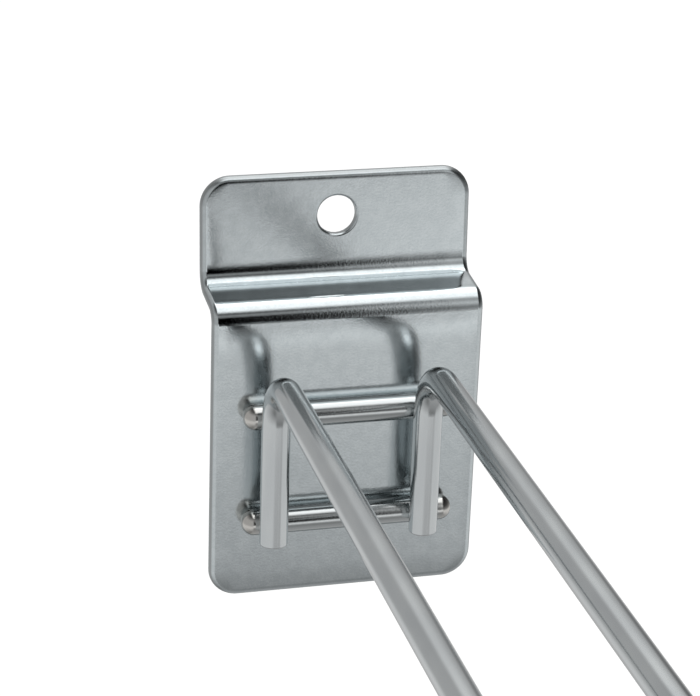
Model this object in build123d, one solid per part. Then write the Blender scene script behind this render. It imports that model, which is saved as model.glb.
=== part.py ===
"""Slatwall hook: two straight wire prongs on a stamped steel plate.

One sheet is bent twice, so that its upper tab slips behind the lip of a slatwall groove while the
lower plate bears on the panel. Two round cross rods are welded across the front of the lower plate,
and each prong has a short upright leg welded across both rods.

Millimetres, +Z up, +X to the right as seen from the front, prongs towards -Y. The origin is at
mid width on the back face of the lower plate, in the corner under the step, which sits on the
panel's lip.
"""
import math
import os

from build123d import *

# Back plate: one sheet, bent twice
sheet = 1.5
plate_width = 50.0
plate_drop = 55.8            # from the origin down to the lower edge
tab_rise = 21.5              # from the origin up to the top edge
step_depth = 10.8            # back of the lower plate to the back of the tab, at its root
step_slope = 5.5             # degrees that the step climbs towards the tab
tab_lean = 3.6               # degrees that the tab leans back from the upright
front_bend = 3.6             # outside radius of the bend at the front of the step
rear_bend = 2.4              # inside radius of the bend at the foot of the tab
corner_radius = 5.4
edge_roll = 1.1              # the sheared edge is drawn down round the front
back_edge = 0.15             # on the back the edge is only broken

# Screw hole in the tab
hole_diameter = 7.2
hole_below_top = 8.0         # along the tab, from its top edge to the hole's centre
hole_roll = 0.45

# Cross rods
rod_diameter = 4.8
rod_length = 39.6
upper_rod_drop = 18.8        # below the origin
lower_rod_drop = 39.7
rod_set_down = 0.15          # depth that the weld takes a rod into its seat

# Prongs
wire_diameter = 5.2
prong_spacing = 28.0
prong_offset = -0.8          # the pair is welded a little to the left of the middle
prong_drop = 9.0             # axis of the straight prong below the origin
prong_bend = 9.0             # radius of the bend, at the wire's axis
prong_reach = 150.0          # front of the plate to the tip
leg_below_rod = 2.2          # cut end of the leg below the axis of the lower rod
leg_set_down = 0.15          # depth that the weld takes a leg into the rods
leg_end_bevel = 0.4

# Places worked out from the sizes above
front_face = -sheet
rod_axis = front_face - rod_diameter / 2 + rod_set_down
leg_axis = rod_axis - rod_diameter / 2 - wire_diameter / 2 + leg_set_down


def sheet_corners():
    """Sharp corners of the sheet's back face as (Y, Z): lower edge, origin, root, top edge."""
    lean, slope = math.radians(tab_lean), math.radians(step_slope)
    root = (step_depth, step_depth * math.tan(slope))
    top = (root[0] + (tab_rise - root[1]) * math.tan(lean), tab_rise)
    return [(0.0, -plate_drop), (0.0, 0.0), root, top]


def offset_path(points, distance):
    """The same open path moved to its left by a distance, with mitred corners."""
    legs = list(zip(points, points[1:]))
    normals = [Vector(a[1] - b[1], b[0] - a[0]).normalized() for a, b in legs]
    moved = []
    for point, first, second in zip(points, normals[:1] + normals, normals + normals[-1:]):
        mean = (first + second) / 2
        moved.append(Vector(*point) + mean * (distance / mean.dot(mean)))
    return moved


def outline(body, side):
    """Edges round the front (side -1) or the back (side 1) of the sheet, between its two ends."""
    along = body.faces().filter_by(lambda face: abs(face.normal_at().X) < 0.01).sort_by(Axis.Z)[1:-1]
    edges = [edge for face in along if side * face.normal_at().Y > 0 for edge in face.edges()]
    return [edge for edge in edges if sum(edge.is_same(other) for other in edges) == 1]


def bent_sheet():
    """The bent strip with square edges, as wide as the plate."""
    back = [Vector(*point) for point in sheet_corners()]
    front = offset_path(sheet_corners(), sheet)
    section = make_face(Polyline(*back, *reversed(front), close=True))
    bends = ((front[1], front_bend), (back[1], front_bend - sheet),
             (front[2], rear_bend), (back[2], rear_bend + sheet))
    for corner, radius in bends:
        section = fillet(section.vertices().sort_by_distance(corner)[0], radius)
    return extrude(Plane.YZ * section, plate_width / 2, both=True)


def back_plate():
    """Lower plate, step and tab in one sheet, with rounded corners, rolled edges and the hole."""
    body = bent_sheet()
    for end in (0, -1):
        edges = body.faces().sort_by(Axis.Z)[end].edges()
        body = fillet(edges.filter_by(lambda edge: edge.length < 2 * sheet), corner_radius)
    body = fillet(outline(body, -1), edge_roll)
    body = chamfer(outline(body, 1), back_edge)

    root, top = (Vector(0, *point) for point in sheet_corners()[2:])
    up = (top - root).normalized()
    centre = top - up * hole_below_top
    inward = up.cross(Vector(1, 0, 0))
    body -= Plane(centre, z_dir=inward) * Cylinder(hole_diameter / 2, 4 * sheet)
    circles = body.edges().filter_by(GeomType.CIRCLE)
    return fillet(circles.sort_by_distance(centre - inward * sheet)[0], hole_roll)


def cross_rod(drop):
    """Round rod with domed ends, lying across the plate on the flat left by its weld."""
    radius = rod_diameter / 2
    straight = rod_length - rod_diameter
    rod = Cylinder(radius, straight)
    for end in (-straight / 2, straight / 2):
        rod += Pos(0, 0, end) * Sphere(radius)
    sunk = Pos(0, radius - rod_set_down + radius, 0) * Box(rod_length, rod_diameter, rod_diameter)
    return Pos(0, rod_axis, -drop) * (Rot(0, 90, 0) * rod - sunk)


def prong(side, rods):
    """Leg, bend and straight prong in one wire, seated on the rods."""
    x = prong_offset + side * prong_spacing / 2
    radius = wire_diameter / 2
    foot = Vector(x, leg_axis, -lower_rod_drop - leg_below_rod)
    corner = Vector(x, leg_axis, -prong_drop)
    tip = Vector(x, front_face - prong_reach + radius, -prong_drop)
    path = FilletPolyline(foot, corner, tip, radius=prong_bend)
    wire = sweep(Plane(foot, z_dir=(0, 0, 1)) * Circle(radius), path)
    wire = chamfer(wire.edges().sort_by(Axis.Z)[0], leg_end_bevel)
    wire += Plane(tip, z_dir=(0, -1, 0)) * Sphere(radius)
    return wire - rods


upper_rod = cross_rod(upper_rod_drop)
lower_rod = cross_rod(lower_rod_drop)
nodes = {
    "back_plate": back_plate(),
    "upper_cross_rod": upper_rod,
    "lower_cross_rod": lower_rod,
    "left_prong": prong(-1, [upper_rod, lower_rod]),
    "right_prong": prong(1, [upper_rod, lower_rod]),
}

os.makedirs("parts", exist_ok=True)
for name, shape in nodes.items():
    export_step(shape, f"parts/{name}.step")
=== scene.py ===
# %% [markdown]
# # A slatwall hook in plated steel
#
# Two straight wire prongs are welded over a pair of short cross rods, and the rods are welded to a
# steel plate with one double bend. The part is already solid in the frame that is loaded here.
# This lesson rebuilds its five pieces as smooth surfaces, because a mirror-like metal shows every
# facet of a coarse mesh, then gives them their plating, a room to reflect, a floor and a camera.
# Sizes are in millimetres until a mesh is made. X is across the plate, Y runs back into the wall
# and Z is up.

# %% Load the frame
import math

import bpy
import numpy as np
from mathutils import Matrix, Vector


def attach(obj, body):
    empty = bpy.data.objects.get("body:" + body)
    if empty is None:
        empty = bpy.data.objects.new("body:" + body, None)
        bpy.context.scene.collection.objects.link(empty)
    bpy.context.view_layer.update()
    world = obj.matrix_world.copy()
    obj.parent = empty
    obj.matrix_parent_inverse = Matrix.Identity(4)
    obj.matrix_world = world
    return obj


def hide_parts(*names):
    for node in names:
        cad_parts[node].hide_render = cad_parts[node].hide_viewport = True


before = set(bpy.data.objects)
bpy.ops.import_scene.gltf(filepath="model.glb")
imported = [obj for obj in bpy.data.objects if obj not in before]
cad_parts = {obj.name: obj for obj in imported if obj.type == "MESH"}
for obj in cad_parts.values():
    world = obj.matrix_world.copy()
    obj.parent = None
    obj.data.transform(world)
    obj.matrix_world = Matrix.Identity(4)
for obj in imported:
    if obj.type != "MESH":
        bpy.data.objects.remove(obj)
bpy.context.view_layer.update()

MM = 0.001

# %% [markdown]
# ## Sizes
#
# The same sizes drive the solid part. A surface that is laid over a solid has to agree with it to
# a few hundredths of a millimetre, or its edges and its shadows part from the solid's.

# %% Sizes of the plate
sheet = 1.5
plate_width = 50.0
plate_drop = 55.8
tab_rise = 21.5
step_depth = 10.8
step_slope = math.radians(5.5)
tab_lean = math.radians(3.6)
front_bend = 3.6
rear_bend = 2.4
corner_radius = 5.4
edge_roll = 1.1
back_edge = 0.15
hole_radius = 3.6
hole_below_top = 8.0
hole_roll = 0.45
front_face = -sheet
print("plate", plate_width, "wide and", round(plate_drop + tab_rise, 1), "high")

# %% Sizes of the rods and prongs
weld_depth = 0.15
rod_radius = 2.4
rod_length = 39.6
rod_heights = {"upper_cross_rod": -18.8, "lower_cross_rod": -39.7}
rod_y = front_face - rod_radius + weld_depth
wire_radius = 2.6
wire_end_round = 0.4
leg_y = rod_y - rod_radius - wire_radius + weld_depth
leg_foot = rod_heights["lower_cross_rod"] - 2.2
prong_places = {"left_prong": -14.8, "right_prong": 13.2}
prong_height = -9.0
prong_bend = 9.0
prong_tip = front_face - 150.0
print("rods at y", round(rod_y, 2), "and legs at y", round(leg_y, 2))

# %% [markdown]
# ## From arrays to a mesh
#
# Each surface is a grid of points with the direction that it faces at each point and the point's
# place in the blank, which is the flat sheet or the straight wire before anything was bent.
# `make_piece` cuts each cell of each grid into two triangles and lets grids that meet share their
# points, so that a piece is closed. It keeps the exact facing directions, so light slides over a
# bend as if no triangle were there.

# %% Cells of a grid
def cells(rows, columns, first):
    """Corner numbers of two triangles for every cell of a grid whose points count up from first."""
    k = first + np.arange(rows * columns).reshape(rows, columns)
    a, b, c, d = k[:-1, :-1], k[1:, :-1], k[1:, 1:], k[:-1, 1:]
    return np.stack([a, b, c, a, c, d], axis=-1).reshape(-1, 3)


print("a grid of 3 by 4 points has", len(cells(3, 4, 0)), "triangles")


# %% Grids to one closed piece
def make_piece(name, patches, merge=0.00037):
    """Join the grids in patches, each (points, facing, blank), into one mesh object.

    Points nearer than merge share one vertex. A triangle with two corners on one vertex, at a pole
    or a seam, is dropped. Each remaining triangle is turned until it faces as its corners do.
    """
    points, facing, blank = (np.concatenate([p[k].reshape(-1, 3) for p in patches]) for k in range(3))
    counts = [p[0].shape[0] * p[0].shape[1] for p in patches]
    firsts = np.cumsum([0] + counts[:-1])
    corners = np.concatenate([cells(*p[0].shape[:2], n) for p, n in zip(patches, firsts)])
    _, keep, shared = np.unique(np.round(points / merge), axis=0, return_index=True, return_inverse=True)
    shared = shared.ravel()[corners]
    whole = (shared != np.roll(shared, 1, axis=1)).all(axis=1)
    corners, shared = corners[whole], shared[whole]
    a, b, c = (points[corners[:, k]] for k in range(3))
    wrong = (np.cross(b - a, c - a) * facing[corners].sum(axis=1)).sum(axis=1) < 0
    corners[wrong], shared[wrong] = corners[wrong, ::-1], shared[wrong, ::-1]
    mesh = bpy.data.meshes.new(name)
    mesh.from_pydata(points[keep] * MM, [], shared, shade_flat=False)
    place = mesh.attributes.new("blank", "FLOAT_VECTOR", "POINT")
    place.data.foreach_set("vector", blank[keep].astype(np.float32).ravel())
    mesh.normals_split_custom_set(facing[corners].reshape(-1, 3))
    piece = bpy.data.objects.new(name, mesh)
    bpy.context.collection.objects.link(piece)
    print(name, len(mesh.vertices), "points", len(mesh.polygons), "triangles")
    return piece


# %% [markdown]
# ## A bent path
#
# Both the sheet and the wire are straight stock with a few round bends. The heading of such a path
# holds steady along each straight and turns evenly through each bend, and the path itself is the
# heading added up in small steps.

# %% Path with round bends
def bent_path(start, heading, parts, samples=1501):
    """Path from start along parts, each (length, angle that the heading turns through), in a plane.

    heading(s) = first heading + angles of the parts passed, in proportion to the length covered
    place(s) = start + sum of (cos heading, sin heading) times the small steps up to s
    Past its ends the path runs straight on. Returns place(s), heading(s) and the whole length.
    """
    ends = np.cumsum([0.0] + [length for length, _ in parts])
    angles = heading + np.cumsum([0.0] + [angle for _, angle in parts])
    s = np.unique(np.concatenate([np.linspace(a, b, samples) for a, b in zip(ends[:-1], ends[1:])]))
    middle = np.interp((s[1:] + s[:-1]) / 2, ends, angles)
    y = start[0] + np.concatenate([[0.0], np.cumsum(np.cos(middle) * np.diff(s))])
    z = start[1] + np.concatenate([[0.0], np.cumsum(np.sin(middle) * np.diff(s))])

    def heading_at(t):
        return np.interp(t, ends, angles)

    def place_at(t):
        past = t - np.clip(t, 0.0, ends[-1])
        turn = heading_at(t)
        return np.interp(t, s, y) + past * np.cos(turn), np.interp(t, s, z) + past * np.sin(turn)

    return place_at, heading_at, ends[-1]


# %% [markdown]
# ## The plate
#
# On the real hook the plate is stamped from sheet and pressed twice: the lower plate bears on the
# panel, the step passes under the lip of a groove and the tab hooks up behind the lip.
# A box with its edges bevelled would do for a dull plate. Here the plate starts as a flat blank with
# rounded corners, as the real one does. Its blank coordinates are x across, s up along the front
# face and w down into the sheet. `on_sheet` carries a point of the blank to its place in the bent
# plate. The front face is the path, so a bend that is round on the front has the same centre on
# the back.

# %% Front face of the sheet, seen from the side
first_turn = math.pi / 2 - step_slope
second_turn = math.pi / 2 - step_slope - tab_lean
mitre_front, mitre_rear = (sheet * math.tan(turn / 2) for turn in (first_turn, second_turn))
used_front, used_rear = front_bend * math.tan(first_turn / 2), rear_bend * math.tan(second_turn / 2)
lower_flat = plate_drop + mitre_front - used_front
step_flat = step_depth / math.cos(step_slope) + mitre_front - mitre_rear - used_front - used_rear
tab_flat = (tab_rise - step_depth * math.tan(step_slope)) / math.cos(tab_lean) - mitre_rear - used_rear
sheet_parts = [(lower_flat, 0.0), (front_bend * first_turn, -first_turn), (step_flat, 0.0),
               (rear_bend * second_turn, second_turn), (tab_flat, 0.0)]
sheet_place, sheet_heading, sheet_length = bent_path((front_face, -plate_drop), math.pi / 2, sheet_parts)
bend_ends = np.cumsum([length for length, _ in sheet_parts])[:4]
hole_s = sheet_length - hole_below_top
print("blank", plate_width, "by", round(sheet_length, 2))
print("bends start and end at", np.round(bend_ends, 1).tolist())


# %% Blank to bent plate
def on_sheet(x, s, w):
    """Point of the bent plate at blank place x, s, w.

    (y, z) = path(s) + w times (sin heading, -cos heading), which leads into the sheet
    """
    y, z = sheet_place(s)
    turn = sheet_heading(s)
    return np.stack(np.broadcast_arrays(x, y + w * np.sin(turn), z - w * np.cos(turn)), axis=-1)


def facing_on_sheet(dx, ds, dw, s):
    """Direction (dx, ds, dw) of the blank, turned with the sheet at s. dw points into the sheet.

    y = ds cos(heading) + dw sin(heading), z = ds sin(heading) - dw cos(heading)
    """
    turn = sheet_heading(s)
    y = ds * np.cos(turn) + dw * np.sin(turn)
    z = ds * np.sin(turn) - dw * np.cos(turn)
    return np.stack(np.broadcast_arrays(dx, y, z), axis=-1)


def sheet_patch(x, s, w, dx, ds, dw):
    """One grid of the plate, from blank places and blank directions."""
    x, s, w, dx, ds, dw = np.broadcast_arrays(x, s, w, dx, ds, dw)
    return on_sheet(x, s, w), facing_on_sheet(dx, ds, dw, s), np.stack([x, s, w], axis=-1)


print("top of the front face", np.round(on_sheet(0.0, sheet_length, 0.0), 2).tolist())

# %% [markdown]
# A rounded rectangle is a smaller rectangle swollen by the corner radius. Each row of the face
# therefore has an anchor on the small rectangle and a direction to swell in, and the same anchors
# serve for the face and for every line of the rolled edge, so the two share their points.
# Rows lie closer together in the bends, where the sheet turns.

# %% Rows of the blank
corner_rows = 18
finer_below, finer_above = 8.0, 4.0
quarter = np.radians(np.linspace(0.0, 90.0, corner_rows + 1))
low, high = corner_radius, sheet_length - corner_radius
marks = [low, bend_ends[0] - finer_below, *bend_ends, bend_ends[3] + finer_above, high]
steps = (10, 14, 36, 10, 36, 10, 8)
spans = [np.linspace(a, b, n + 1)[:-1] for a, b, n in zip(marks, marks[1:], steps)]
middle_rows = np.concatenate(spans + [[high]])
anchor_s = np.concatenate([np.full(corner_rows, low), middle_rows, np.full(corner_rows, high)])
swell_x = np.concatenate([np.sin(quarter[:-1]), np.ones(len(middle_rows)), np.cos(quarter[1:])])
swell_s = np.concatenate([-np.cos(quarter[:-1]), np.zeros(len(middle_rows)), np.sin(quarter[1:])])
print("rows", len(anchor_s))

# %% Columns of the blank, and the block of cells that gives way to the hole
anchor_x = plate_width / 2 - corner_radius
columns = np.sin(np.radians(np.linspace(-90.0, 90.0, 61)))
left_column = 23
right_column = len(columns) - 1 - left_column
block_below, block_above = 5.6, 5.2
front_rows = anchor_s + (corner_radius - edge_roll) * swell_s
lower_row, upper_row = np.searchsorted(front_rows, (hole_s - block_below, hole_s + block_above))
print("columns", len(columns), "with a block for the hole of", upper_row - lower_row, "rows and",
      right_column - left_column, "columns")

# %% [markdown]
# Pressed sheet is never quite flat beside a bend or a sheared edge. The press bows the sheet into
# each bend, and the punch pulls the surface down over the last few millimetres before an edge.
# The dips are too small to model, but a mirror shows them, so only the facing directions follow
# them. This is what curves the reflections of the prongs below the front bend.

# %% Bow of the front face into its bends
foot_front, top_front, foot_rear, top_rear = bend_ends
bow_stops = [(0.0, -3.0), (7.0, 0.0),
             (foot_front - 6.0, 0.0), (foot_front, 6.0), (foot_front + 0.9, 0.0),
             (top_front - 1.0, 0.0), (top_front + 2.0, -2.0), (foot_rear, 1.5), (foot_rear + 1.2, 0.0),
             (top_rear - 1.7, 0.0), (top_rear - 0.4, 7.0), (top_rear + 1.8, 0.0)]
bow_places, bow_degrees = np.array(bow_stops).T
bow_angles = np.radians(bow_degrees)


def bow(s):
    """Angle that the facing turns up along the sheet at s.

    angle = first stop + (next stop - first stop) times (3 t squared - 2 t cubed), t from 0 to 1
    """
    k = np.clip(np.searchsorted(bow_places, s) - 1, 0, len(bow_places) - 2)
    t = np.clip((s - bow_places[k]) / (bow_places[k + 1] - bow_places[k]), 0.0, 1.0)
    return bow_angles[k] + (bow_angles[k + 1] - bow_angles[k]) * t * t * (3 - 2 * t)


print("bow at the foot of the front bend", round(math.degrees(bow(foot_front)), 2), "degrees")

# %% Pull beside the sheared edges
edge_pull = math.radians(5.0)
side_pull_width, end_pull_width = 4.0, 0.45
TINY = 1e-9                  # keeps a division away from zero


def pressed(x, s):
    """Facing of the front face at blank places, as blank directions.

    pull = edge_pull times (1 - distance inside the edge roll / width) squared, outwards
    """
    over_x = np.maximum(np.abs(x) - anchor_x, 0.0) * np.sign(x)
    from_middle = s - sheet_length / 2
    over_s = np.maximum(np.abs(from_middle) - (high - low) / 2, 0.0) * np.sign(from_middle)
    reach = np.maximum(np.hypot(over_x, over_s), TINY)
    width = np.hypot(side_pull_width * over_x, end_pull_width * over_s) / reach + TINY
    pull = edge_pull * np.clip(1 - (corner_radius - edge_roll - reach) / width, 0.0, 1.0) ** 2
    dx = np.sin(pull) * over_x / reach
    ds = np.sin(pull) * over_s / reach + np.sin(bow(s))
    return dx, ds, -np.sqrt(1 - dx ** 2 - ds ** 2)


side_facing = pressed(np.array([plate_width / 2 - edge_roll]), np.array([sheet_length / 3]))
print("facing at the side", [round(float(part[0]), 3) for part in side_facing])


# %% [markdown]
# The hole takes a screw. Cutting it with a boolean would leave long thin triangles that a mirror
# shows as creases, so the grid leaves out a block of cells and a ring of cells fills the gap between
# the block's edge and the circle.

# %% One face of the plate, with its hole
def face_patches(inset, w, radius, facing, angles=None, ring_lines=9):
    """Grids of the front or back face, drawn in from the edge by inset, round a hole of radius.

    s = anchor + swell times direction, and x = column times the half width of the row
    Cells near the hole give way to a ring, whose lines run from the block's edge to the circle, at the
    angles given, or else at those of the block's own points. Returns the grids and the angles.
    """
    swell = corner_radius - inset
    s = (anchor_s + swell * swell_s)[:, None]
    x = columns * (anchor_x + swell * swell_x)[:, None]
    s = np.broadcast_to(s, x.shape)
    r0, r1, c0, c1 = lower_row, upper_row, left_column, right_column
    blocks = [np.s_[:r0 + 1, :], np.s_[r1:, :], np.s_[r0:r1 + 1, :c0 + 1], np.s_[r0:r1 + 1, c1:]]
    patches = [sheet_patch(x[b], s[b], w, *facing(x[b], s[b])) for b in blocks]
    loop = [np.concatenate([a[r0, c0:c1], a[r0:r1, c1], a[r1, c1:c0:-1], a[r1:r0 - 1:-1, c0]])
            for a in (x, s)]
    if angles is None:
        angles = np.arctan2(loop[1] - hole_s, loop[0])
    circle = radius * np.cos(angles), hole_s + radius * np.sin(angles)
    blend = np.linspace(0.0, 1.0, ring_lines)[:, None]
    ring = [start + (end - start) * blend for start, end in zip(loop, circle)]
    patches.append(sheet_patch(*ring, w, *facing(*ring)))
    return patches, angles


front, hole_angles = face_patches(edge_roll, 0.0, hole_radius + hole_roll, pressed)
back, _ = face_patches(back_edge, sheet, hole_radius, lambda x, s: (0.0, 0.0, 1.0), hole_angles)
print("faces", len(front), "and", len(back), "grids, with", len(hole_angles), "points round the hole")

# %% [markdown]
# The punch draws the sheared edge down on the front and leaves it sharper on the back, so the
# section of the edge is a quarter circle, a short upright and a small chamfer. The hole's wall has
# the same kind of section with a smaller roll.

# %% Line round the outline
level, rise = columns * anchor_x, anchor_s[1:-1]
ones = np.ones(len(level))
edge_x = np.concatenate([level, np.full(len(rise), anchor_x), level[::-1], np.full(len(rise), -anchor_x),
                         level[:1]])
edge_s = np.concatenate([low * ones, rise, high * ones, rise[::-1], [low]])
out_x = np.concatenate([0 * ones, swell_x[1:-1], 0 * ones, -swell_x[-2:0:-1], [0.0]])
out_s = np.concatenate([-ones, swell_s[1:-1], ones, swell_s[-2:0:-1], [-1.0]])
print("outline", len(edge_x), "points")


# %% Edge of the plate
def edge_strip(inset, w, out, down):
    """Grid round the outline, from lists of insets, depths and facing parts, one for each line.

    point = anchor + (corner radius - inset) times direction
    """
    swell = (corner_radius - np.asarray(inset))[:, None]
    w, out, down = (np.asarray(v)[:, None] for v in (w, out, down))
    return sheet_patch(edge_x + swell * out_x, edge_s + swell * out_s, w, out * out_x, out * out_s, down)


turn = np.radians(np.linspace(0.0, 90.0, 15))
shown = edge_pull + turn * (1 - edge_pull / (math.pi / 2))
slant = math.sqrt(0.5)
edge = [edge_strip(edge_roll * (1 - np.sin(turn)), edge_roll * (1 - np.cos(turn)),
                   np.sin(shown), -np.cos(shown)),
        edge_strip([0.0, 0.0], [edge_roll, sheet - back_edge], [1.0, 1.0], [0.0, 0.0]),
        edge_strip([0.0, back_edge], [sheet - back_edge, sheet], [slant, slant], [slant, slant])]
print("edge", len(edge), "grids")


# %% Wall of the hole
def hole_strip(radius, w, inwards, down):
    """Grid round the hole, facing its axis, from lists of radii, depths and facing parts.

    point = centre of the hole + radius times (cos, sin)
    """
    radius, w, inwards, down = (np.asarray(v)[:, None] for v in (radius, w, inwards, down))
    cos, sin = np.cos(hole_angles), np.sin(hole_angles)
    return sheet_patch(radius * cos, hole_s + radius * sin, w, -inwards * cos, -inwards * sin, down)


turn = np.radians(np.linspace(0.0, 90.0, 11))
wall = [hole_strip(hole_radius + hole_roll * (1 - np.sin(turn)), hole_roll * (1 - np.cos(turn)),
                   np.sin(turn), -np.cos(turn)),
        hole_strip([hole_radius, hole_radius], [hole_roll, sheet], [1.0, 1.0], [0.0, 0.0])]
print("wall of the hole", len(wall), "grids")

# %% Plate
plate = make_piece("plated_plate", front + back + edge + wall)
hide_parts("back_plate")
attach(plate, "root")

# %% [markdown]
# ## Rods and prongs
#
# The rods and prongs are drawn wire, cut to length. A curve with a round bevel would give the same
# tube, but not its ends or its seats. A rod and a prong are therefore rings of points round a centre
# line, with a table that says how wide the ring is at each station and how far its normal tips along
# the line. Where a rod sinks into its weld on the plate it is cut flat, and a leg is hollowed where
# it sits over a rod.

# %% Stations along a centre line
def straight(stations):
    """Rows (station, share of the full radius, tip of the normal) where the stock is full width."""
    return np.column_stack([stations, np.ones(len(stations)), np.zeros(len(stations))])


def dome(centre, radius, sign, steps=14):
    """Rows of a round end about centre, towards sign, in the order of their stations.

    station = centre + sign times radius times sin(turn), share = cos(turn), tip = sign times turn
    """
    turn = np.radians(np.linspace(90.0, 0.0, steps))
    rows = np.column_stack([centre + sign * radius * np.sin(turn), np.cos(turn), sign * turn])
    return rows if sign < 0 else rows[::-1]


def rings(section, radius, around=96):
    """Ring directions as cos and sin, and a section as station, radius, cos(tip) and sin(tip).

    normal = ring direction times cos(tip) + line direction times sin(tip)
    """
    angle = np.linspace(0.0, 2 * math.pi, around + 1)
    station, share, tip = (column[:, None] for column in section.T)
    return np.cos(angle), np.sin(angle), station, share * radius, np.cos(tip), np.sin(tip)


print("a round end has", len(dome(0.0, rod_radius, 1)), "stations")


# %% Cross rods
def rod_piece(name, height):
    """Rod along X with round ends, cut flat at the plate.

    point = (station, rod_y + radius cos, height + radius sin), with y no further back than the plate
    """
    half = rod_length / 2 - rod_radius
    section = np.concatenate([dome(-half, rod_radius, -1), straight(np.linspace(-half, half, 25)[1:-1]),
                              dome(half, rod_radius, 1)])
    cos, sin, x, size, across, along = rings(section, rod_radius)
    y, z = rod_y + size * cos, height + size * sin
    points = np.stack(np.broadcast_arrays(x, np.minimum(y, front_face), z), axis=-1)
    facing = np.stack(np.broadcast_arrays(along, across * cos, across * sin), axis=-1)
    blank = np.stack(np.broadcast_arrays(size * cos, size * sin, x), axis=-1)
    piece = make_piece("plated_" + name, [(points, facing, blank)])
    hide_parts(name)
    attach(piece, "root")
    return piece


rods = [rod_piece(name, height) for name, height in rod_heights.items()]

# %% [markdown]
# A prong is one wire. Its foot is cut square with a small round rim, its leg stands over both rods,
# and one bend turns it forwards to a tip that is rounded like the rods' ends.

# %% Prong's centre line
leg_straight = prong_height - prong_bend - leg_foot
reach_straight = leg_y - prong_bend - (prong_tip + wire_radius)
wire_parts = [(leg_straight, 0.0), (prong_bend * math.pi / 2, math.pi / 2), (reach_straight, 0.0)]
wire_place, wire_heading, wire_length = bent_path((leg_y, leg_foot), math.pi / 2, wire_parts)
print("wire", round(wire_length, 2))

# %% Prong's section
bend_start, bend_end = leg_straight, leg_straight + wire_parts[1][0]
flat_end = wire_radius - wire_end_round
leg_rings, bend_rings, reach_rings = 90, 61, 70
spread = np.linspace(0.0, 1.0, 6)
turn = np.radians(np.linspace(90.0, 0.0, 9))
cut_end = np.column_stack([0 * spread, spread * flat_end / wire_radius, 0 * spread - math.pi / 2])
cut_rim = np.column_stack([wire_end_round * (1 - np.sin(turn)),
                           (flat_end + wire_end_round * np.cos(turn)) / wire_radius, -turn])
wire_stations = np.concatenate([np.linspace(wire_end_round, bend_start, leg_rings)[1:-1],
                                np.linspace(bend_start, bend_end, bend_rings),
                                np.linspace(bend_end, wire_length, reach_rings)[1:-1]])
wire_section = np.concatenate([cut_end, cut_rim, straight(wire_stations),
                               dome(wire_length, wire_radius, 1)])
print("wire section", len(wire_section), "stations")


# %% Seats of a leg on the rods
def seated(points, on_leg):
    """The points with the leg hollowed over the rods.

    A leg's point inside a rod, nearer its axis than the radius, moves straight out to its surface.
    """
    x, y, z = np.moveaxis(points, -1, 0)
    for height in rod_heights.values():
        dy, dz = y - rod_y, z - height
        grow = np.maximum(1.0, rod_radius / np.maximum(np.hypot(dy, dz), TINY))
        grow = np.where(on_leg, grow, 1.0)
        y, z = rod_y + dy * grow, height + dz * grow
    return np.stack([x, y, z], axis=-1)


print("a point in the lower rod moves to",
      np.round(seated(np.array([0.0, rod_y - 2.0, rod_heights["lower_cross_rod"]]), True), 2).tolist())


# %% Prongs
def prong_piece(name, x):
    """Wire up the leg, round the bend and out to the tip, with its centre line at x.

    point = line + radius times (cos across the line, sin in its plane, square to its heading)
    """
    cos, sin, s, size, across, along = rings(wire_section, wire_radius)
    y, z = wire_place(s)
    heading = wire_heading(s)
    ahead_y, ahead_z = np.cos(heading), np.sin(heading)
    points = np.stack(np.broadcast_arrays(x + size * cos, y + size * sin * ahead_z,
                                          z - size * sin * ahead_y), axis=-1)
    facing = np.stack(np.broadcast_arrays(across * cos, across * sin * ahead_z + along * ahead_y,
                                          -across * sin * ahead_y + along * ahead_z), axis=-1)
    blank = np.stack(np.broadcast_arrays(size * cos, size * sin, s), axis=-1)
    piece = make_piece("plated_" + name, [(seated(points, s <= leg_straight), facing, blank)])
    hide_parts(name)
    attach(piece, "root")
    return piece


prongs = [prong_piece(name, x) for name, x in prong_places.items()]

# %% [markdown]
# ## Shader arithmetic
#
# A finish is mostly sums of a few noises. `Socket` lets such a sum be written as one: each
# operation on a socket adds the math node that does it.

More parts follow.
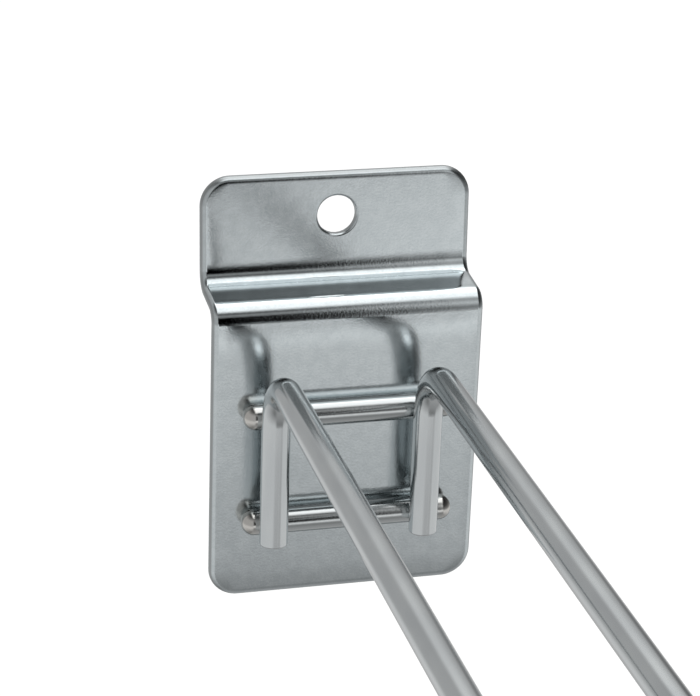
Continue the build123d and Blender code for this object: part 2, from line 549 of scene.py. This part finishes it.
# %% Socket arithmetic
class Socket:
    """One output in a node tree. + - * / between sockets and numbers add math nodes."""

    def __init__(self, tree, output):
        self.tree, self.output = tree, output

    def node(self, kind, inputs=(), out=0, stops=(), **settings):
        """Add any node, set its fields, then its inputs from numbers or sockets, and give one output.

        stops are those of a colour ramp, each (place, grey), both from 0 to 1.
        """
        made = self.tree.nodes.new(kind)
        for field, value in settings.items():
            setattr(made, field, value)
        for n, (place, grey) in enumerate(stops):
            stop = made.color_ramp.elements[n] if n < 2 else made.color_ramp.elements.new(1.0)
            stop.position = place
            stop.color = (grey, grey, grey, 1.0)
        for key, value in dict(inputs).items():
            if isinstance(value, Socket):
                self.tree.links.new(value.output, made.inputs[key])
            else:
                made.inputs[key].default_value = value
        return Socket(self.tree, made.outputs[out])

    def math(self, operation, *values):
        return self.node("ShaderNodeMath", dict(enumerate(values)), operation=operation)

    def __add__(self, other): return self.math("ADD", self, other)
    def __sub__(self, other): return self.math("SUBTRACT", self, other)
    def __mul__(self, other): return self.math("MULTIPLY", self, other)
    def __truediv__(self, other): return self.math("DIVIDE", self, other)
    def __rsub__(self, other): return self.math("SUBTRACT", other, self)
    def __rtruediv__(self, other): return self.math("DIVIDE", other, self)
    __radd__, __rmul__ = __add__, __mul__

    def ramp(self, start, end):
        """Goes smoothly from 0 to 1 while this value goes from start to end."""
        return self.node("ShaderNodeMapRange", {0: self, 1: start, 2: end, 3: 0.0, 4: 1.0},
                         interpolation_type="SMOOTHSTEP")

    def mix(self, first, second):
        """Colour between first, where this value is 0, and second, where it is 1."""
        return self.node("ShaderNodeMix", {0: self, 6: first, 7: second}, out=2, data_type="RGBA")

    def scaled(self, x, y, z):
        """This vector with each part multiplied by its own number."""
        return self.node("ShaderNodeVectorMath", {0: self, 1: (x, y, z)}, operation="MULTIPLY")

    def noise(self, detail=2.0, roughness=0.5):
        """Soft noise of about 0 to 1, one lump to each unit of this vector."""
        return self.node("ShaderNodeTexNoise",
                         {"Vector": self, "Scale": 1.0, "Detail": detail, "Roughness": roughness})

    def part(self, axis):
        """One part of this vector: 0 is x, 1 is y and 2 is z."""
        return self.node("ShaderNodeSeparateXYZ", {0: self}, out=axis)


print("a socket can", ", ".join(name for name in vars(Socket) if not name.startswith("_")))

# %% [markdown]
# ## Plating
#
# Bright zinc or nickel over steel is a grey metal with a faint cool tint. The sheet was rolled
# before it was plated, so its mirror is soft and speckled. The wire and the rods were drawn through
# a die, which leaves a tighter mirror with fine lines along their length. A scanned image could
# carry such marks, but it would need a map and would blur close by. Here every pattern is a noise
# laid out on the blank, so it bends with the metal and stays sharp.

# %% Metal shader
def plating(name, build):
    """Material with one metal shader. build(blank) gives its colour, roughness and bump height in mm."""
    material = bpy.data.materials.new(name)
    material.use_nodes = True
    tree = material.node_tree
    shader = tree.nodes["Principled BSDF"]
    shader.inputs["Metallic"].default_value = 1.0
    blank = Socket(tree, None).node("ShaderNodeAttribute", attribute_name="blank", out=1)
    colour, roughness, height = build(blank)
    normal = blank.node("ShaderNodeBump", {"Height": height, "Strength": 1.0, "Distance": MM})
    for key, socket in (("Base Color", colour), ("Roughness", roughness), ("Normal", normal)):
        tree.links.new(socket.output, shader.inputs[key])
    print(name, len(tree.nodes), "nodes")
    return material


# %% [markdown]
# The sheet's rolled waves and its fine grain show through the thin plating. One noise could stand
# for both, but they differ in size by some thirty times, so each has its own: slow waves bend the
# reflections, and the grain only breaks them up. The punched edge is bare of the roller's polish.

# %% Plated sheet
def sheet_finish(blank):
    """Broad unevenness bends reflections, and a fine grain breaks them up.

    The press burnishes the sheet in the two bends, and the cut edges are darker and rougher.
    """
    s, w = blank.part(1), blank.part(2)
    broad = blank.scaled(0.09, 0.07, 0.09).noise(1.0)
    mottle = blank.scaled(0.45, 0.4, 0.45).noise(3.0, 0.6)
    grain = blank.scaled(2.4, 2.4, 2.4).noise(2.0, 0.6)
    cut = w.ramp(0.15, 0.45) * w.ramp(sheet, sheet - back_edge)
    tone = (0.6 * mottle + 0.4 * grain).ramp(0.35, 0.65)
    bright = tone.mix((0.535, 0.58, 0.595, 1.0), (0.595, 0.64, 0.655, 1.0))
    colour = cut.mix(bright, (0.36, 0.38, 0.385, 1.0))
    dull = 1.0
    for start, end in ((foot_front, top_front), (foot_rear, top_rear)):
        dull = dull - s.ramp(start - 1.0, start) * s.ramp(end + 1.0, end)
    roughness = 0.07 + 0.07 * dull + 0.03 * mottle + 0.02 * grain + 0.25 * cut
    height = 0.03 * broad + 0.003 * mottle + 0.009 * grain
    return colour, roughness, height


plate.data.materials.append(plating("plated_sheet", sheet_finish))


# %% [markdown]
# The two cross rods are the same part twice and share one finish. A plain grey metal would do from afar.
# Close by, their plating is grainy, and their round ends are a little warmer in tone.

# %% Plated rods
def rod_finish(blank):
    """Grainy bright plating, a little warmer in tone towards the round ends."""
    lines = blank.scaled(3.5, 3.5, 0.35).noise(2.0, 0.6)
    grain = blank.scaled(2.6, 2.6, 2.6).noise(3.0, 0.65)
    along = blank.part(2)
    ends = along.math("ABSOLUTE", along).ramp(15.5, 19.0)
    colour = ends.mix((0.56, 0.585, 0.59, 1.0), (0.60, 0.585, 0.555, 1.0))
    roughness = 0.10 + 0.05 * grain + 0.02 * lines
    height = 0.002 * lines + 0.007 * grain
    return colour, roughness, height


rod_plating = plating("plated_rod", rod_finish)
for rod in rods:
    rod.data.materials.append(rod_plating)


# %% [markdown]
# The prongs show the lines that the die leaves, far longer than they are wide. An anisotropic
# shader stretches reflections as such lines do, but it draws no line. Here a noise is stretched
# along the wire instead and feeds both the gloss and the bump.

# %% Plated wire
def wire_finish(blank):
    """Tight mirror with fine lines along the wire and slow changes of gloss."""
    lines = blank.scaled(4.5, 4.5, 0.05).noise(2.0, 0.6)
    slow = blank.scaled(0.3, 0.3, 0.08).noise(2.0)
    colour = slow.ramp(0.3, 0.7).mix((0.55, 0.575, 0.585, 1.0), (0.60, 0.625, 0.63, 1.0))
    roughness = 0.11 + 0.06 * slow + 0.04 * lines
    height = 0.0022 * lines + 0.004 * slow
    return colour, roughness, height


wire_plating = plating("plated_wire", wire_finish)
for prong in prongs:
    prong.data.materials.append(wire_plating)

# %% [markdown]
# ## The room in the mirror
#
# A bright metal has hardly any look of its own: what it shows is the room. The hook is photographed
# on white paper, and the camera sees that paper as plain white, but the metal sees a soft lamp
# overhead, pale surfaces low in front, a dark gap between them and greys to either side.
# Lamps and panels could stand round the hook. A painted world does the same with nothing to place:
# each patch is a brightness against the angle of the ray, and the plate, which bends about one
# axis only, shows it as plain bands.

# %% Directions in the room: climb is 0 to the front, 90 up and 180 to the back
world = bpy.data.worlds.new("studio")
bpy.context.scene.world = world
world.use_nodes = True
sky_tree = world.node_tree
way = Socket(sky_tree, None).node("ShaderNodeTexCoord", out=0)
ahead, up, side = way.part(1) * -1.0, way.part(2), way.part(0)
DEGREES = 180.0 / math.pi
climb = up.math("ARCTAN2", up, ahead) * DEGREES
elevation = up.math("ARCSINE", up) * DEGREES
print("directions", len(sky_tree.nodes), "nodes")


# %% Brightness by angle
def profile(angle, stops, brightest=3.0):
    """Brightness drawn through stops, each (degrees, brightness), with straight lines between them.

    A colour ramp holds 0 to 1 over 0 to 1, so degrees and brightness are packed and unpacked:
    place = (degrees + 180) / 360 and grey = brightness / brightest
    """
    packed = [((degrees + 180.0) / 360.0, bright / brightest) for degrees, bright in stops]
    drawn = angle.node("ShaderNodeValToRGB", {0: (angle + 180.0) / 360.0}, stops=packed)
    return brightest * drawn.node("ShaderNodeRGBToBW", {0: drawn})


def between(amount, first, second):
    """first times (1 - amount) + second times amount"""
    return first * (1.0 - amount) + second * amount


# %% Low surfaces and the overhead lamp, left and right of the middle
below = [(-180, 0.34), (-160, 0.60), (-125, 0.46), (-90, 0.46), (-60, 0.38), (-40, 0.28)]
lamp = [(68, 1.55), (84, 1.60), (94, 1.85), (102, 2.70), (120, 2.70), (136, 1.05), (152, 0.60),
        (180, 0.34)]
dark_gap = [(-29, 0.43), (-22, 0.86), (-16, 1.04), (-10, 0.57), (-5, 0.04), (-2, 0.0), (23, 0.0),
            (28, 0.14), (34, 0.32), (40, 0.26), (46, 0.10), (52, 0.30), (60, 1.10)]
grey_gap = [(-29, 0.55), (-22, 0.88), (-15, 1.06), (-9, 0.64), (0, 0.28), (6, 0.30), (16, 0.50),
            (26, 0.74), (34, 0.66), (42, 0.50), (52, 0.52), (60, 1.00)]
left, right = (profile(climb, below + gap + lamp) for gap in (dark_gap, grey_gap))
print("stops", len(below + dark_gap + lamp), "and", len(below + grey_gap + lamp))

# %% Sides of the room, by elevation
far_left = profile(elevation, [(-90, 0.0), (-55, 0.48), (-32, 0.78), (-20, 0.76), (-8, 0.52), (30, 0.50),
                               (60, 0.08)])
far_right = profile(elevation, [(-90, 0.0), (-55, 0.38), (-32, 0.75), (-20, 0.80), (-8, 0.28), (12, 0.08),
                                (40, 0.02)])
far = between(side.ramp(-0.05, 0.05), far_left, far_right)
print("world so far", len(sky_tree.nodes), "nodes")

# %% [markdown]
# Two small patches stand among the low surfaces at the left: a darker stand and a piece of paper
# that catches more light. The tab's left part and the left end of the lower plate show them. The
# sides take over where the ray leaves the plate's own band of directions, so only the round wires
# and the rolled edges see them.

# %% The whole room
stand = side.ramp(0.12, 0.15) * side.ramp(0.203, 0.190)
stand = stand * climb.ramp(-19.0, -16.0) * climb.ramp(-6.0, -9.0)
pale = side.ramp(0.245, 0.215) * climb.ramp(-14.0, -11.5) * climb.ramp(-4.0, -8.0)
middle = between(side.ramp(0.240, 0.272), left, right) * (1.0 - 0.55 * stand + 0.5 * pale)
room = between(side.ramp(-0.05, -0.36) + side.ramp(0.48, 0.66), middle, far)
seen_by_camera = way.node("ShaderNodeLightPath", out=0)
sky = sky_tree.nodes["Background"]
sky_tree.links.new(between(seen_by_camera, room, 1.0).output, sky.inputs["Color"])
sky.inputs["Strength"].default_value = 1.0
print("world", len(sky_tree.nodes), "nodes")

# %% [markdown]
# ## Floor
#
# A sheet of pale paper lies well below the hook, so its shadow is faint and soft. Half of what the
# camera sees of the paper is its own light, which lifts it to white and leaves the shadow on it.

# %% Floor
floor_height, floor_half = -0.30, 6.0
floor_mesh = bpy.data.meshes.new("floor")
floor_mesh.from_pydata([(x * floor_half, y * floor_half, floor_height)
                        for x, y in ((-1, -1), (1, -1), (1, 1), (-1, 1))], [], [(0, 1, 2, 3)])
floor = bpy.data.objects.new("floor", floor_mesh)
bpy.context.collection.objects.link(floor)
floor.visible_glossy = False
print("floor at", floor_height, "m")

# %% Paper
paper = bpy.data.materials.new("paper")
paper.use_nodes = True
paper_tree = paper.node_tree
shader = paper_tree.nodes["Principled BSDF"]
shader.inputs["Base Color"].default_value = (0.8, 0.8, 0.8, 1.0)
shader.inputs["Roughness"].default_value = 0.9
shader.inputs["Specular IOR Level"].default_value = 0.0
seen_by_camera = Socket(paper_tree, None).node("ShaderNodeLightPath", out=0)
glow = seen_by_camera.node("ShaderNodeEmission", {"Strength": 1.5})
matt = Socket(paper_tree, shader.outputs[0])
lifted = glow.node("ShaderNodeMixShader", {0: seen_by_camera * 0.5, 1: matt, 2: glow})
paper_tree.links.new(lifted.output, paper_tree.nodes["Material Output"].inputs["Surface"])
floor_mesh.materials.append(paper)
print("paper", len(paper_tree.nodes), "nodes")

# %% [markdown]
# ## Camera
#
# The camera stands to the left and above, with a long lens, as in the photograph. Its place is
# worked out from a point on the plate, two angles and a distance.

# %% Camera
aim = Vector((0.00013, -0.0015, -0.0076))
azimuth, tilt, roll = math.radians(-15.25), math.radians(22.555), math.radians(2.093)
distance = 0.43824
away = Vector((math.sin(azimuth) * math.cos(tilt), -math.cos(azimuth) * math.cos(tilt), math.sin(tilt)))
lens = bpy.data.cameras.new("camera")
lens.lens = 125.66
camera = bpy.data.objects.new("camera", lens)
turned = (-away).to_track_quat("-Z", "Y").to_matrix().to_4x4() @ Matrix.Rotation(roll, 4, "Z")
camera.matrix_world = Matrix.Translation(aim + away * distance) @ turned
bpy.context.collection.objects.link(camera)
bpy.context.scene.camera = camera
bpy.context.scene.view_settings.view_transform = "Standard"
print("camera at", [round(v, 4) for v in camera.matrix_world.translation])
